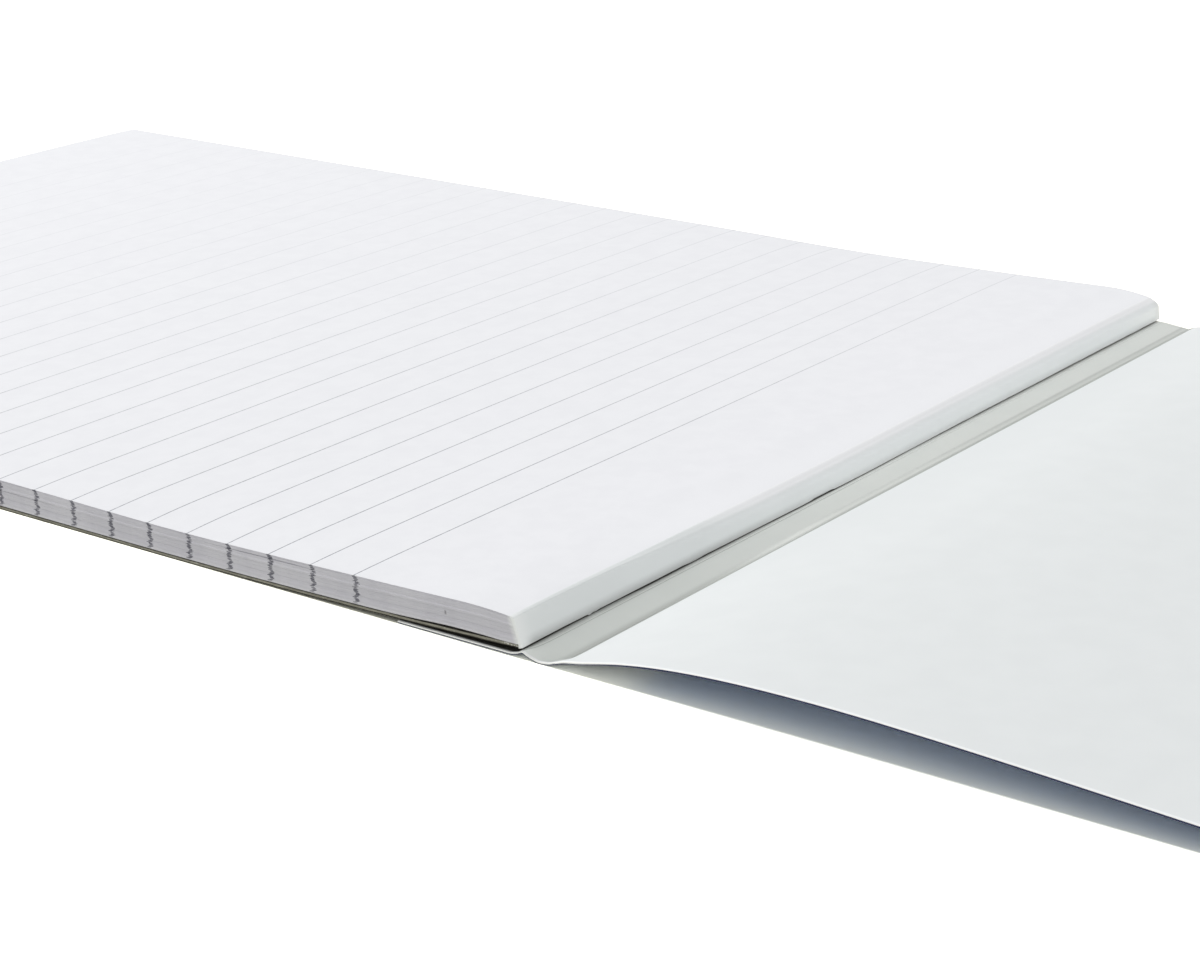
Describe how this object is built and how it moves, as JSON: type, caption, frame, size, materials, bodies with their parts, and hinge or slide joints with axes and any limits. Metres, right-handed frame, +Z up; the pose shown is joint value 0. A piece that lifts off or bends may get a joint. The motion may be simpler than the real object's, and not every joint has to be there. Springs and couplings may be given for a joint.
{
  "type": "notepad",
  "caption": "Head-glued ruled writing pad with a chipboard back, lying open: its wrap-round card cover is folded over the head and bows up off the table.",
  "frame": {"origin": "middle of the opened notepad's footprint, on the surface that it lies on", "axes": "+X across the page to the right, +Y from the foot past the head and along the opened cover, +Z up"},
  "size_m": [0.21, 0.5996, 0.0068],
  "materials": {
    "sheets": "matte",
    "glue": "satin",
    "board": "matte",
    "cover": "matte"
  },
  "bodies": {
    "pad": {"paper_block": "sheets", "binding_glue": "glue", "back_board": "board", "cover_tab": "cover"},
    "spine": {"cover_spine": "cover"},
    "cover": {"cover_front": "cover"}
  },
  "joints": [
    {"name": "spine_fold", "type": "hinge", "parent": "pad", "child": "spine", "pos_m": [0, -0.00184, 0.00105], "axis": [1, 0, 0], "range_deg": [0, 97]},
    {"name": "cover_fold", "type": "hinge", "parent": "spine", "child": "cover", "pos_m": [0, 0.00384, 0.0005], "axis": [1, 0, 0], "range_deg": [0, 55]}
  ]
}
